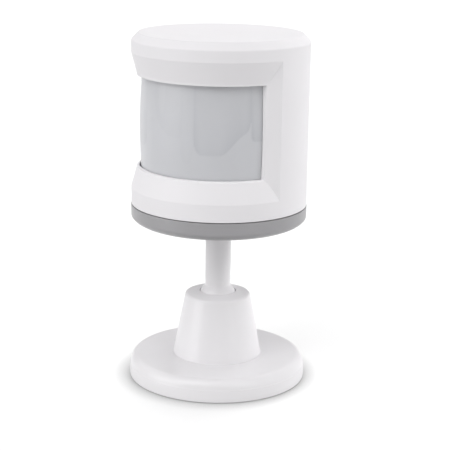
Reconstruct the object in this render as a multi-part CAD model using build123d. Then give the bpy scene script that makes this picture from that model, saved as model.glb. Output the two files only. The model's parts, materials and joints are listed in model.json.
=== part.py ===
from build123d import *
from math import cos, radians, sin
import os

# A battery motion sensor on a ball-joint stand. Millimetres, +Z up, window towards -Y.
# The origin is the centre of the foot's underside. Azimuths are measured from -Y towards +X.

# ---- driving dimensions ----
HEAD_R = 15.0            # outer radius of the sensor head
HEAD_TOP = 60.0          # overall height
HEAD_WALL = 1.4          # wall of the housing
COVER_BOTTOM = 27.3      # underside of the battery cover
SEAM_Z = 30.75           # top of the battery cover's skirt
SEAM_GAP = 0.25          # shadow gap between cover and housing
FOOT_R = 15.3            # radius of the round foot
FOOT_TOP = 3.96          # top face of the foot
CONE_TOP = 15.2          # highest point of the cone post, at the ball opening
ROD_R = 2.22             # radius of the stem
BALL_R = 3.3             # radius of the ball
BALL_Z = 13.7            # height of the ball centre, where all stand joints meet
CELL_R = 12.25           # coin cell radius, a standard 24.5 mm cell
CELL_T = 5.0             # coin cell thickness

# ---- fits ----
BALL_FIT = 0.06          # radial clearance between ball and seat
SLIDE_FIT = 0.1          # radial clearance of the reset button in its hole
THREAD_FIT = 0.02        # clearance around a plain screw shank

# ---- foot and cone post ----
FOOT_WALL = 2.0          # straight part of the rim, below its rounded edge
FOOT_EDGE = 1.5          # radial width of the rounded edge
RIM_LIFT = 0.1           # the rim stops this far above the pad's sticky face
PAD_T = 0.75
PAD_R = 13.3
PLATE_T = 1.2
PLATE_R = 13.5
POCKET_R = 13.6
CONE_FOOT_R = 7.66       # cone radius where it meets the foot
CONE_SHOULDER_R = 5.62   # cone radius at its top edge
CONE_SHOULDER_Z = 14.8
CONE_EDGE = 0.6          # rounding of the cone's top edge
OPENING_R = 3.1          # opening that the stem leans against at full tilt
BORE_R = 4.6             # bore of the cone, open from below
BORE_TOP = 12.5
PLATE_SCREW_RADIUS = 10.3
PLATE_SCREW_COUNT = 3

# ---- ball clamp, from the ball downwards ----
PAD_SHELL = 0.3          # friction pad thickness
PAD_HALF_ANGLE = 42      # how far the friction pad reaches up round the ball
CUP_R = 4.5
CUP_TOP = 12.3
CUP_BOTTOM = 9.0
SPRING_WIRE_R = 0.25
SPRING_R = 2.7
SPRING_TURNS = 4
PLUG_TOP = 4.6
PLUG_BOTTOM = 1.98

# ---- battery cover ----
COVER_R = HEAD_R + 0.04
COVER_FLOOR = 29.1       # inside face of the cover
COVER_EDGE = 4.5         # radial width of the rounded lower edge
COVER_EDGE_Z = 29.08     # where the rounded lower edge reaches the skirt
SPIGOT_R = 13.35
SPIGOT_BORE = 12.55
SPIGOT_TOP = 33.0
LUG_R = 14.1
LUG_BOTTOM = 32.1
LUG_HALF_ANGLE = 9
LUG_OFFSET = -6          # the locked lugs stand this many degrees short of their ledges' middles
LEDGE_HALF_ANGLE = 20
LEDGE_T = 0.9
BAYONET_COUNT = 3
SEAL_BORE = 13.7         # groove for the sealing ring, in the top of the skirt
SEAL_R = 14.3
SEAL_DEPTH = 0.55

# ---- housing ----
HOUSING_BOTTOM = SEAM_Z + SEAM_GAP
HOUSING_BORE = HEAD_R - HEAD_WALL
SKIRT_BORE = 14.3        # wider bore that the bayonet works in
SKIRT_TOP = 33.8
RIM_R = 13.83            # radius of the flat top face
RIM_ROUND = 0.25         # rounding of the top face's edge
BEVEL_Z = 58.75          # lower edge of the bevel round the top
BEVEL_ROUND = 0.5        # rounding of that edge
DRAFT = 0.04             # the wall leans in by this much from bottom to bevel
TOP_T = 1.5
WINDOW_BOTTOM = 37.35
WINDOW_TOP = 53.0
WINDOW_HALF_ANGLE = 73
WINDOW_LIP_R = 14.05     # radius of the window's inner edge
BEZEL_BOTTOM = 33.9      # lower outer edge of the bevelled frame
BEZEL_TOP = 56.8         # upper outer edge of the bevelled frame
BEZEL_HALF_ANGLE = 81.8  # side outer edge of the bevelled frame
BOSS_X = 7.6
BOSS_Y = 8.2
BOSS_R = 1.7
BOSS_BOTTOM = 38.05
BOSS_HOLE_TOP = 44.0
BUTTON_Z = 41.0
BUTTON_R = 2.2
BUTTON_FACE = 14.72      # the button's outer face stands this far from the axis
BUTTON_FLANGE_R = 2.8
BUTTON_FLANGE_Y = (12.4, 13.1)
BUTTON_SHANK_R = 1.2
PLUNGER_R = 0.9
PLUNGER_Y = (9.65, 11.2)

# ---- optics ----
LENS_R = 13.54           # lens radius at its fullest height
LENS_MID_Z = 44.5
LENS_BARREL = 110        # radius of the slight bulge from top to bottom
LENS_BORE = 12.88        # the lens's inner face is a plain cylinder
LENS_BOTTOM = 36.1
LENS_TOP = 54.6
LENS_HALF_ANGLE = 79
FLANGE_H = 0.8
FLANGE_R = 13.55
FACET_ROWS = (41.0, 45.6, 49.6)
FACET_DEPTH = 0.15
FACET_STEP = 15          # degrees between the upright facet lines
RETAINER_BORE = 12.35
RETAINER_R = 12.85

# ---- inside the head ----
CELL_BOTTOM = 30.6
CELL_TOP = CELL_BOTTOM + CELL_T
ROOF_BOTTOM = 35.85
ROOF_TOP = 36.6
BOARD_BOTTOM = 37.0
BOARD_T = 1.0
BOARD_TOP = BOARD_BOTTOM + BOARD_T
BOARD_R = 12.25
EYE_Z = 45.2             # height of the sensor's optical axis
UPRIGHT_Y = 4.6          # front face of the upright board
UPRIGHT_T = 0.8
UPRIGHT_HALF_WIDTH = 10.0
UPRIGHT_TOP = 54.8
PIN_R = 0.22             # the sensor's pins
PIN_CIRCLE_R = 2.54
CAN_BACK = 3.8           # back of the sensor's can behind the head's axis
HEADER_PIN_R = 0.2
HEADER_PINS = 4
HEADER_PITCH = 1.27
HEADER_Y = 6.2           # the header pins stand this far behind the head's axis
HEADER_Z = 39.2          # height of the pins' level ends
MODULE_T = 0.8           # thickness of the radio board
SHIELD_WALL = 0.2
CONTACT_T = 0.15         # contact strip thickness

# ---- screws ----
BASE_SHANK_R = 0.8
BASE_HEAD_R = 1.6
STEM_SHANK_R = 0.8
STEM_HEAD_R = 1.7
STEM_SEAT_Z = 28.5       # underside of the stem screw's head
WASHER_R = 2.3
TENON_R = 1.6            # the rod's end inside the cover
TENON_TOP = 28.15
BOARD_SHANK_R = 0.6
BOARD_HEAD_R = 1.15


def turned(*points):
    """A solid of revolution about Z from a closed outline of (radius, height) points."""
    return revolve(Plane.XZ * make_face(Polyline(*points, close=True)), Axis.Z)


def tube(outer, inner, low, high):
    """A plain ring between two radii and two heights."""
    return turned((inner, low), (outer, low), (outer, high), (inner, high))


def disc(radius, low, high):
    """A plain round plate or pin about Z."""
    return Pos(0, 0, (low + high) / 2) * Cylinder(radius, high - low)


def block(x0, x1, y0, y1, z0, z1):
    """A box given by its two corners."""
    return Pos((x0 + x1) / 2, (y0 + y1) / 2, (z0 + z1) / 2) * Box(x1 - x0, y1 - y0, z1 - z0)


def rod_y(radius, x, z, y0, y1):
    """A round bar along Y."""
    return Pos(x, (y0 + y1) / 2, z) * Rot(90, 0, 0) * Cylinder(radius, y1 - y0)


def at_azimuth(azimuth, radius=1.0):
    """The (x, y) of a point at an azimuth from -Y towards +X."""
    return radius * sin(radians(azimuth)), -radius * cos(radians(azimuth))


def sector(middle, half_angle, low, high, radius=20):
    """A pie-shaped block used to keep or cut an angular stretch of a ring."""
    steps = 8
    rim = [at_azimuth(middle - half_angle + 2 * half_angle * i / steps, radius) for i in range(steps + 1)]
    face = make_face(Polyline((0, 0), *rim, close=True))
    return Pos(0, 0, low) * extrude(face, high - low)


def around(solid, count, radius=0.0, start=0.0):
    """Copies of a solid, spaced evenly about Z."""
    return [Rot(0, 0, start + 360 * i / count) * Pos(radius, 0, 0) * solid for i in range(count)]


def screw(shank_r, head_r, head_t, length):
    """A countersunk cross-head screw, head face at z = 0, shank pointing to +Z."""
    body = turned((0, 0), (head_r, 0), (head_r, 0.15), (shank_r, head_t), (shank_r, length - 0.4),
                  (shank_r * 0.45, length), (0, length))
    slot = Box(head_r * 1.1, head_r * 0.26, head_t)
    return body - slot - Rot(0, 0, 90) * slot


# ---- stand body ----

def stand():
    """The foot disc and the cone post, moulded in one piece, with the ball seat inside."""
    edge_r = FOOT_R - FOOT_EDGE
    rounded = EllipticalCenterArc((edge_r, FOOT_WALL), FOOT_EDGE, FOOT_TOP - FOOT_WALL, arc_size=90)
    outline = [
        Line((0, RIM_LIFT), (FOOT_R, RIM_LIFT)),
        Line((FOOT_R, RIM_LIFT), (FOOT_R, FOOT_WALL)),
        rounded,
        Line((edge_r, FOOT_TOP), (CONE_FOOT_R, FOOT_TOP)),
        Line((CONE_FOOT_R, FOOT_TOP), (CONE_SHOULDER_R, CONE_SHOULDER_Z)),
        Line((CONE_SHOULDER_R, CONE_SHOULDER_Z), (OPENING_R, CONE_TOP)),
        Line((OPENING_R, CONE_TOP), (0, CONE_TOP)),
        Line((0, CONE_TOP), (0, RIM_LIFT)),
    ]
    body = revolve(Plane.XZ * make_face(outline), Axis.Z)
    shoulder = [e for e in body.edges() if abs(e.center().Z - CONE_SHOULDER_Z) < 0.01]
    body = fillet(shoulder, CONE_EDGE)
    heel = [e for e in body.edges() if abs(e.center().Z - RIM_LIFT) < 0.01]
    body = fillet(heel, 0.2)
    body -= disc(POCKET_R, 0, PAD_T + PLATE_T)
    body -= disc(BORE_R, 0, BORE_TOP)
    body -= disc(BALL_R + BALL_FIT, BORE_TOP, BALL_Z)
    body -= Pos(0, 0, BALL_Z) * Sphere(BALL_R + BALL_FIT)
    body -= disc(OPENING_R, BALL_Z, CONE_TOP + 1)
    mouth = [e for e in body.edges() if e.geom_type == GeomType.CIRCLE and e.radius < OPENING_R + 0.01
             and e.center().Z > CONE_TOP - 0.01]
    body = fillet(mouth, 0.12)
    pilots = around(disc(BASE_SHANK_R + THREAD_FIT, 0, 3.3), PLATE_SCREW_COUNT, PLATE_SCREW_RADIUS, 90)
    for pilot in pilots:
        body -= pilot
    return body


def base_plate():
    """The flat plate that closes the foot from below."""
    plate = disc(PLATE_R, PAD_T, PAD_T + PLATE_T)
    wide = BASE_HEAD_R + 0.12
    narrow = BASE_SHANK_R + 0.12
    recess = turned((0, PAD_T - 0.1), (wide, PAD_T - 0.1), (wide, PAD_T + 0.3), (narrow, PAD_T + 0.95),
                    (narrow, PAD_T + 2), (0, PAD_T + 2))
    for cut in around(recess, PLATE_SCREW_COUNT, PLATE_SCREW_RADIUS, 90):
        plate -= cut
    for vent in around(disc(0.6, 0, 3), PLATE_SCREW_COUNT, 6.0, 30):
        plate -= vent
    return plate


def base_screws():
    """The screws that hold the base plate, heads sunk in the plate."""
    one = Pos(0, 0, PAD_T + 0.06) * screw(BASE_SHANK_R, BASE_HEAD_R, 0.85, 2.3)
    return around(one, PLATE_SCREW_COUNT, PLATE_SCREW_RADIUS, 90)


def adhesive_pad():
    """The double-sided foam pad that sticks the foot down."""
    return disc(PAD_R, 0, PAD_T - 0.02)


def spring_plug():
    """The plug in the bottom of the bore that the clamp spring stands on."""
    plug = turned((0, PLUG_BOTTOM), (BORE_R - THREAD_FIT, PLUG_BOTTOM), (BORE_R - THREAD_FIT, PLUG_TOP - 0.6),
                  (BORE_R - 0.5, PLUG_TOP - 0.6), (BORE_R - 0.5, PLUG_TOP - 1.0), (1.9, PLUG_TOP - 1.0),
                  (1.9, PLUG_TOP), (0, PLUG_TOP))
    return plug - block(-2.6, 2.6, -0.45, 0.45, PLUG_BOTTOM - 1, PLUG_BOTTOM + 0.9)


def clamp_spring():
    """The coil spring that presses the cup up against the ball."""
    low = PLUG_TOP - 1.0 + SPRING_WIRE_R
    high = CUP_BOTTOM - SPRING_WIRE_R
    path = Pos(0, 0, low) * Helix((high - low) / SPRING_TURNS, high - low, SPRING_R)
    section = Plane(path @ 0, z_dir=path % 0) * Circle(SPRING_WIRE_R - 0.01)
    return sweep(section, path=path, is_frenet=True)


# ---- ball clamp ----

def pressure_cup():
    """The cup under the ball. It turns with the ball about the vertical axis."""
    cup = disc(CUP_R, CUP_BOTTOM, CUP_TOP)
    cup -= Pos(0, 0, BALL_Z) * Sphere(BALL_R + 2 * BALL_FIT + PAD_SHELL)
    return cup + disc(1.9, CUP_BOTTOM - 0.9, CUP_BOTTOM)


def friction_pad():
    """The thin nylon shell between cup and ball, which tips with the ball."""
    shell = Sphere(BALL_R + BALL_FIT + PAD_SHELL) - Sphere(BALL_R + BALL_FIT)
    cap_height = (BALL_R + BALL_FIT) * cos(radians(PAD_HALF_ANGLE))
    return Pos(0, 0, BALL_Z) * (shell & block(-5, 5, -5, 5, -5, -cap_height))


# ---- stem body ----

def ball_stem():
    """The ball and its rod, one moulding, with a pilot hole for the screw from above."""
    stem = Pos(0, 0, BALL_Z) * Sphere(BALL_R)
    stem += disc(ROD_R, BALL_Z, COVER_BOTTOM)
    neck = [e for e in stem.edges() if e.geom_type == GeomType.CIRCLE and BALL_Z + 1 < e.center().Z < 20]
    stem = fillet(neck, 0.35)
    stem += disc(TENON_R, COVER_BOTTOM, TENON_TOP)
    return stem - disc(STEM_SHANK_R + THREAD_FIT, 22.0, TENON_TOP + 1)


def stem_washer():
    """The washer under the stem screw's head."""
    return tube(WASHER_R, STEM_SHANK_R + 0.15, STEM_SEAT_Z - 0.28, STEM_SEAT_Z)


def stem_screw():
    """The screw that joins the battery cover to the stem."""
    top = STEM_SEAT_Z + 0.55
    head = turned((0, STEM_SEAT_Z), (STEM_HEAD_R, STEM_SEAT_Z), (STEM_HEAD_R, top - 0.2),
                  (STEM_HEAD_R - 0.35, top), (0, top))
    slot = Box(1.2 * STEM_HEAD_R, 0.4, 0.6)
    head -= Pos(0, 0, top) * slot + Pos(0, 0, top) * Rot(0, 0, 90) * slot
    return head + disc(STEM_SHANK_R, 22.4, STEM_SEAT_Z)


def battery_cover():
    """The grey cap under the head, with a spigot and bayonet lugs."""
    flat_r = COVER_R - COVER_EDGE
    rise = COVER_EDGE_Z - COVER_BOTTOM
    lower_edge = EllipticalCenterArc((flat_r, COVER_EDGE_Z), COVER_EDGE, rise, start_angle=270, arc_size=90)
    outline = [
        Line((0, COVER_BOTTOM), (flat_r, COVER_BOTTOM)),
        lower_edge,
        Line((COVER_R, COVER_EDGE_Z), (COVER_R, SEAM_Z - 0.12)),
        Line((COVER_R, SEAM_Z - 0.12), (COVER_R - 0.12, SEAM_Z)),
        Line((COVER_R - 0.12, SEAM_Z), (SPIGOT_R, SEAM_Z)),
        Line((SPIGOT_R, SEAM_Z), (SPIGOT_R, SPIGOT_TOP)),
        Line((SPIGOT_R, SPIGOT_TOP), (SPIGOT_BORE, SPIGOT_TOP)),
        Line((SPIGOT_BORE, SPIGOT_TOP), (SPIGOT_BORE, COVER_FLOOR)),
        Line((SPIGOT_BORE, COVER_FLOOR), (0, COVER_FLOOR)),
        Line((0, COVER_FLOOR), (0, COVER_BOTTOM)),
    ]
    cover = revolve(Plane.XZ * make_face(outline), Axis.Z)
    lug_ring = tube(LUG_R, SPIGOT_R - 0.1, LUG_BOTTOM, SPIGOT_TOP)
    for i in range(BAYONET_COUNT):
        middle = LUG_OFFSET + 360 * i / BAYONET_COUNT
        cover += lug_ring & sector(middle, LUG_HALF_ANGLE, LUG_BOTTOM - 1, SPIGOT_TOP + 1)
    cover -= tube(SEAL_R, SEAL_BORE, SEAM_Z - SEAL_DEPTH, SEAM_Z + 1)
    cover -= disc(WASHER_R + 0.2, STEM_SEAT_Z - 0.3, COVER_FLOOR + 1)
    return cover - disc(TENON_R + 0.05, COVER_BOTTOM - 1, COVER_FLOOR + 1)


def cover_seal():
    """The flat sealing ring in the cover's groove."""
    return tube(SEAL_R - 0.05, SEAL_BORE + 0.05, SEAM_Z - SEAL_DEPTH + 0.01, SEAM_Z + 0.12)


def battery_pad():
    """The foam disc that presses the coin cell up against its contacts."""
    return tube(9.0, 2.7, COVER_FLOOR, CELL_BOTTOM - 0.05)


# ---- head body ----

def window_cutter():
    """The window opening with its bevelled frame: conical above and below, flat at the sides."""
    slope_low = (WINDOW_BOTTOM - BEZEL_BOTTOM) / (HEAD_R - WINDOW_LIP_R)
    slope_high = (BEZEL_TOP - WINDOW_TOP) / (HEAD_R - WINDOW_LIP_R)
    far = 18.0
    reach = far - WINDOW_LIP_R
    ring = turned((10, WINDOW_BOTTOM), (WINDOW_LIP_R, WINDOW_BOTTOM), (far, WINDOW_BOTTOM - slope_low * reach),
                  (far, WINDOW_TOP + slope_high * reach), (WINDOW_LIP_R, WINDOW_TOP), (10, WINDOW_TOP))
    ix, iy = at_azimuth(WINDOW_HALF_ANGLE, WINDOW_LIP_R)
    ox, oy = at_azimuth(BEZEL_HALF_ANGLE, HEAD_R)
    ex, ey = ix + 3 * (ox - ix), iy + 3 * (oy - iy)
    plan = make_face(Polyline((0, 0), (ix, iy), (ex, ey), (30, ey), (30, -30), (-30, -30), (-30, ey),
                              (-ex, ey), (-ix, iy), close=True))
    return ring & (Pos(0, 0, 20) * extrude(plan, 50))


def housing():
    """The white shell of the head, closed at the top, open at the bottom and at the window."""
    shell = turned((0, HOUSING_BOTTOM), (HEAD_R, HOUSING_BOTTOM), (HEAD_R - DRAFT, BEVEL_Z),
                   (RIM_R, HEAD_TOP), (0, HEAD_TOP))
    bevel = [e for e in shell.edges() if abs(e.center().Z - BEVEL_Z) < 0.01]
    shell = fillet(bevel, BEVEL_ROUND)
    rim = [e for e in shell.edges() if abs(e.center().Z - HEAD_TOP) < 0.01]
    shell = fillet(rim, RIM_ROUND)
    shell -= disc(SKIRT_BORE, HOUSING_BOTTOM - 1, SKIRT_TOP)
    shell -= disc(HOUSING_BORE, SKIRT_TOP - 1, HEAD_TOP - TOP_T)
    shell -= window_cutter()
    ledge_ring = tube(SKIRT_BORE + 0.2, HOUSING_BORE - 0.05, HOUSING_BOTTOM, HOUSING_BOTTOM + LEDGE_T)
    for i in range(BAYONET_COUNT):
        ledge = sector(360 * i / BAYONET_COUNT, LEDGE_HALF_ANGLE, HOUSING_BOTTOM - 1, HOUSING_BOTTOM + 2)
        shell += ledge_ring & ledge
    for side in (-1, 1):
        boss = Pos(side * BOSS_X, BOSS_Y, 0) * disc(BOSS_R, BOSS_BOTTOM, HEAD_TOP - TOP_T + 0.2)
        boss -= Pos(side * BOSS_X, BOSS_Y, 0) * disc(BOARD_SHANK_R + THREAD_FIT, BOSS_BOTTOM - 1, BOSS_HOLE_TOP)
        shell += boss
    shell -= rod_y(BUTTON_R + SLIDE_FIT, 0, BUTTON_Z, 10, 20)
    return shell


def lens_radius(z):
    """Radius of the lens's gently bulging outer face at a height."""
    return LENS_R - (z - LENS_MID_Z) ** 2 / (2 * LENS_BARREL)


def fresnel_lens():
    """The pale lens: a barrel-shaped wall with flanges behind the frame and facets inside."""
    low, high = LENS_BOTTOM, LENS_TOP
    outline = [
        Line((LENS_BORE, low), (lens_radius(low), low)),
        ThreePointArc((lens_radius(low), low), (LENS_R, LENS_MID_Z), (lens_radius(high), high)),
        Line((lens_radius(high), high), (LENS_BORE, high)),
        Line((LENS_BORE, high), (LENS_BORE, low)),
    ]
    lens = revolve(Plane.XZ * make_face(outline), Axis.Z)
    lens += tube(FLANGE_R, LENS_BORE + 0.1, low, low + FLANGE_H)
    lens += tube(FLANGE_R, LENS_BORE + 0.1, high - FLANGE_H, high)
    for z in FACET_ROWS:
        lens -= turned((LENS_BORE - 0.3, z - 0.5), (LENS_BORE + FACET_DEPTH, z), (LENS_BORE - 0.3, z + 0.5))
    lens &= sector(0, LENS_HALF_ANGLE, low - 1, high + 1)
    groove = Pos(0, -LENS_BORE, EYE_Z) * Rot(0, 0, 45) * Box(0.2, 0.2, 12.2)
    for azimuth in range(-60, 61, FACET_STEP):
        lens -= Rot(0, 0, azimuth) * groove
    return lens


def lens_retainer():
    """The frame behind the lens that presses its edges against the housing."""
    frame = tube(RETAINER_R - 0.2, RETAINER_BORE, ROOF_TOP + 0.05, LENS_TOP + 1.0)
    frame += tube(RETAINER_R, RETAINER_BORE, LENS_TOP - 0.6, LENS_TOP + 1.0)
    frame += tube(RETAINER_R + 0.6, RETAINER_BORE, LENS_TOP + 0.05, LENS_TOP + 1.0)
    frame &= sector(0, 86, 30, 60)
    opening = sector(0, 72, WINDOW_BOTTOM + 1.2, WINDOW_TOP - 0.5)
    return frame - opening


def coin_cell():
    """The button cell, its smaller cap towards the boards."""
    can = turned((0, CELL_BOTTOM), (CELL_R - 0.35, CELL_BOTTOM), (CELL_R, CELL_BOTTOM + 0.35),
                 (CELL_R, CELL_TOP - 0.7), (CELL_R - 0.3, CELL_TOP - 0.4), (CELL_R - 0.9, CELL_TOP - 0.4),
                 (CELL_R - 1.0, CELL_TOP), (0, CELL_TOP))
    return can


def contact_slots():
    """The slots in the battery holder that the two contacts pass through."""
    rear = block(-2.8, 2.8, 12.05, 12.66, 30, 40)
    middle = block(5.7, 6.5, -1.5, 1.5, 34, 40)
    return rear, middle


def battery_holder():
    """The tray above the coin cell: a ring round its edge and a roof that carries the board."""
    holder = turned((12.45, 33.4), (13.4, 33.4), (13.4, 35.95), (12.8, 35.95), (12.8, ROOF_TOP), (0, ROOF_TOP),
                    (0, ROOF_BOTTOM), (12.45, ROOF_BOTTOM))
    for stud in around(disc(0.8, ROOF_TOP - 0.1, BOARD_BOTTOM), 4, 9.5, 45):
        holder += stud
    for slot in contact_slots():
        holder -= slot
    for side in (-1, 1):
        seat = turned((0, 35.0), (1.25, 35.0), (1.25, 36.1), (0.72, 36.65), (0.72, 38), (0, 38))
        holder -= Pos(side * BOSS_X, BOSS_Y, 0) * seat
    return holder


def positive_contact():
    """The spring strip beside the cell's rim, bent under the board."""
    outer = CELL_R + 0.19
    top = BOARD_BOTTOM - 0.07
    upright = block(-2.5, 2.5, outer - CONTACT_T, outer, 33.6, top)
    tab = block(-2.5, 2.5, 10.6, outer, top - CONTACT_T, top)
    return upright + tab


def negative_contact():
    """The leaf that touches the cell's cap, with a leg up to the board."""
    low = CELL_TOP + 0.04
    leaf = block(-4.5, 6.2, -1.2, 1.2, low, low + CONTACT_T)
    leg = block(6.2 - CONTACT_T, 6.2, -1.2, 1.2, low, BOARD_BOTTOM - 0.05)
    return leaf + leg


def main_board():
    """The round circuit board that lies on the battery holder."""
    board = disc(BOARD_R, BOARD_BOTTOM, BOARD_TOP)
    for side in (-1, 1):
        board -= Pos(side * BOSS_X, BOSS_Y, 0) * disc(BOARD_SHANK_R + 0.15, BOARD_BOTTOM - 1, BOARD_TOP + 1)
    for x in header_positions():
        board -= Pos(x, HEADER_Y, 0) * disc(HEADER_PIN_R + 0.06, BOARD_BOTTOM - 1, BOARD_TOP + 1)
    return board


def header_positions():
    """X of each header pin."""
    first = -(HEADER_PINS - 1) / 2 * HEADER_PITCH
    return [first + i * HEADER_PITCH for i in range(HEADER_PINS)]


def header_pins():
    """The bent pins that join the two boards."""
    pins = []
    for x in header_positions():
        upright = Pos(x, HEADER_Y, 0) * disc(HEADER_PIN_R, ROOF_TOP + 0.1, HEADER_Z)
        level = rod_y(HEADER_PIN_R, x, HEADER_Z, UPRIGHT_Y - 0.5, HEADER_Y)
        pins.append(upright + level + Pos(x, HEADER_Y, HEADER_Z) * Sphere(HEADER_PIN_R))
    return pins


def header_block():
    """The plastic body of the header."""
    half = HEADER_PINS * HEADER_PITCH / 2 + 0.36
    body = block(-half, half, HEADER_Y - 0.65, HEADER_Y + 0.55, BOARD_TOP + 0.05, HEADER_Z - 0.25)
    for x in header_positions():
        body -= Pos(x, HEADER_Y, 0) * disc(HEADER_PIN_R + THREAD_FIT, BOARD_TOP - 1, HEADER_Z)
    return body


def sensor_board():
    """The upright circuit board that carries the sensor."""
    board = block(-UPRIGHT_HALF_WIDTH, UPRIGHT_HALF_WIDTH, UPRIGHT_Y, UPRIGHT_Y + UPRIGHT_T,
                  BOARD_TOP + 0.3, UPRIGHT_TOP)
    corners = board.edges().filter_by(Axis.Y)
    board = fillet(corners, 1.2)
    for x in header_positions():
        board -= rod_y(HEADER_PIN_R + 0.06, x, HEADER_Z, UPRIGHT_Y - 1, UPRIGHT_Y + 2)
    for x, z in pir_pin_places():
        board -= rod_y(PIN_R + 0.04, x, z, UPRIGHT_Y - 1, UPRIGHT_Y + 2)
    return board


def pir_pin_places():
    """X and Z of the sensor's three pins, on a circle round its axis."""
    return [(PIN_CIRCLE_R * sin(radians(a)), EYE_Z + PIN_CIRCLE_R * cos(radians(a))) for a in (135, 225, 315)]


def facing_front(solid):
    """Turns a solid made about +Z so that its +Z end points to -Y, on the sensor's axis."""
    return Pos(0, 0, EYE_Z) * Rot(90, 0, 0) * solid


def pir_sensor():
    """The pyroelectric sensor's metal can, with a rectangular opening in its face."""
    can = turned((0, -CAN_BACK), (4.6, -CAN_BACK), (4.6, -3.45), (4.1, -3.3), (4.1, 0.1), (3.8, 0.4), (0, 0.4))
    can -= disc(3.75, -2.45, 0.15)
    can -= Pos(0, 0, 0.4) * Box(4.0, 3.2, 2.0)
    can += block(4.4, 5.2, -0.35, 0.35, -CAN_BACK, 0.3 - CAN_BACK)
    return facing_front(can)


def pir_window():
    """The dark filter window behind the can's opening."""
    return facing_front(block(-2.4, 2.4, -2.0, 2.0, -0.53, 0.1))


def pir_pins():
    """The sensor's three pins, through the spacer and the upright board."""
    return [rod_y(PIN_R, x, z, CAN_BACK, UPRIGHT_Y + UPRIGHT_T + 0.7) for x, z in pir_pin_places()]


def pir_spacer():
    """The plastic spacer between the sensor and its board."""
    spacer = rod_y(4.4, 0, EYE_Z, CAN_BACK, UPRIGHT_Y)
    for x, z in pir_pin_places():
        spacer -= rod_y(PIN_R + 0.03, x, z, CAN_BACK - 1, UPRIGHT_Y + 1)
    return spacer


def motion_chip():
    """The amplifier chip on the back of the upright board, with its legs."""
    back = UPRIGHT_Y + UPRIGHT_T
    middle = 51.0
    pitch = 1.27
    chip = block(-2.5, 2.5, back + 0.1, back + 1.5, middle - 1.9, middle + 1.9)
    for i in range(4):
        x = (i - 1.5) * pitch
        chip += block(x - 0.2, x + 0.2, back + 0.3, back + 0.7, middle - 2.3, middle + 2.3)
        for side in (-1, 1):
            low, high = sorted((middle + side * 2.3, middle + side * 2.7))
            chip += block(x - 0.2, x + 0.2, back, back + 0.3, low, high)
            low, high = sorted((middle + side * 2.05, middle + side * 2.35))
            chip += block(x - 0.2, x + 0.2, back, back + 0.7, low, high)
    return chip


def radio_module():
    """The small radio board on the main board."""
    return block(-5.5, 5.5, -10.2, -2.4, BOARD_TOP, BOARD_TOP + MODULE_T)


def radio_shield():
    """The metal can over the radio circuit."""
    low = BOARD_TOP + MODULE_T
    high = low + 1.8
    can = block(-4.6, 3.2, -9.6, -3.0, low, high)
    can = fillet(can.edges().filter_by(Axis.Z), 0.5)
    return can - block(SHIELD_WALL - 4.6, 3.2 - SHIELD_WALL, SHIELD_WALL - 9.6, -3.0 - SHIELD_WALL,
                       low - 0.1, high - SHIELD_WALL)


def antenna():
    """The ceramic antenna at the radio board's edge."""
    return block(3.6, 5.0, -8.3, -4.3, BOARD_TOP + MODULE_T, BOARD_TOP + MODULE_T + 0.9)


def storage_capacitor():
    """The upright capacitor beside the radio board."""
    low = BOARD_TOP + 0.5
    high = 42.5
    can = turned((0, low), (1.9, low), (1.9, 40.0), (1.75, 40.2), (1.9, 40.4), (1.9, high - 0.2),
                 (1.7, high), (0, high))
    foot = block(-2.0, 2.0, -2.0, 2.0, BOARD_TOP, low)
    return Pos(-8.3, -3.2, 0) * (can + chamfer(foot.edges().filter_by(Axis.Z), 0.6))


def status_led():
    """The indicator lamp on the upright board."""
    base = block(-0.8, 0.8, UPRIGHT_Y - 0.3, UPRIGHT_Y, 51.6, 52.4)
    dome = block(-0.5, 0.5, UPRIGHT_Y - 0.75, UPRIGHT_Y - 0.3, 51.65, 52.35)
    return base + dome


def light_sensor():
    """The ambient light sensor on the upright board."""
    body = block(5.2, 7.2, UPRIGHT_Y - 0.7, UPRIGHT_Y, 51.0, 53.0)
    return body - rod_y(0.6, 6.2, 52.0, UPRIGHT_Y - 1, UPRIGHT_Y - 0.5)


def switch_body():
    """The side-acting push switch on the main board."""
    body = block(-2.25, 2.25, 7.0, 10.2, BOARD_TOP, 42.7)
    body = chamfer(body.edges().filter_by(Axis.Y), 0.3)
    return body - rod_y(PLUNGER_R + SLIDE_FIT, 0, BUTTON_Z, PLUNGER_Y[0] - 0.55, 11)


def board_screws():
    """The two screws that hold holder and main board to the housing's bosses."""
    one = Pos(0, BOSS_Y, ROOF_BOTTOM) * screw(BOARD_SHANK_R, BOARD_HEAD_R, 0.75, 7.6)
    return [Pos(side * BOSS_X, 0, 0) * one for side in (-1, 1)]


# ---- button body ----

def reset_button():
    """The button in the back of the head: a crowned cap, a flange inside the wall and a shank."""
    back, front = BUTTON_FLANGE_Y
    button = rod_y(BUTTON_R, 0, BUTTON_Z, back, BUTTON_FACE)
    face_edge = [e for e in button.edges() if e.center().Y > BUTTON_FACE - 0.01]
    button = fillet(face_edge, 0.3)
    button += rod_y(BUTTON_FLANGE_R, 0, BUTTON_Z, back, front)
    return button + rod_y(BUTTON_SHANK_R, 0, BUTTON_Z, PLUNGER_Y[1], back)


def switch_plunger():
    """The switch's own plunger, which the button's shank presses."""
    return rod_y(PLUNGER_R, 0, BUTTON_Z, *PLUNGER_Y)


PARTS = [
    stand, base_plate, base_screws, adhesive_pad, spring_plug, clamp_spring,
    pressure_cup, friction_pad,
    ball_stem, stem_washer, stem_screw, battery_cover, cover_seal, battery_pad,
    housing, fresnel_lens, lens_retainer, coin_cell, battery_holder, positive_contact, negative_contact,
    main_board, header_pins, header_block, sensor_board, pir_sensor, pir_window, pir_pins, pir_spacer,
    motion_chip, radio_module, radio_shield, antenna, storage_capacitor, status_led, light_sensor,
    switch_body, board_screws,
    reset_button, switch_plunger,
]

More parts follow.
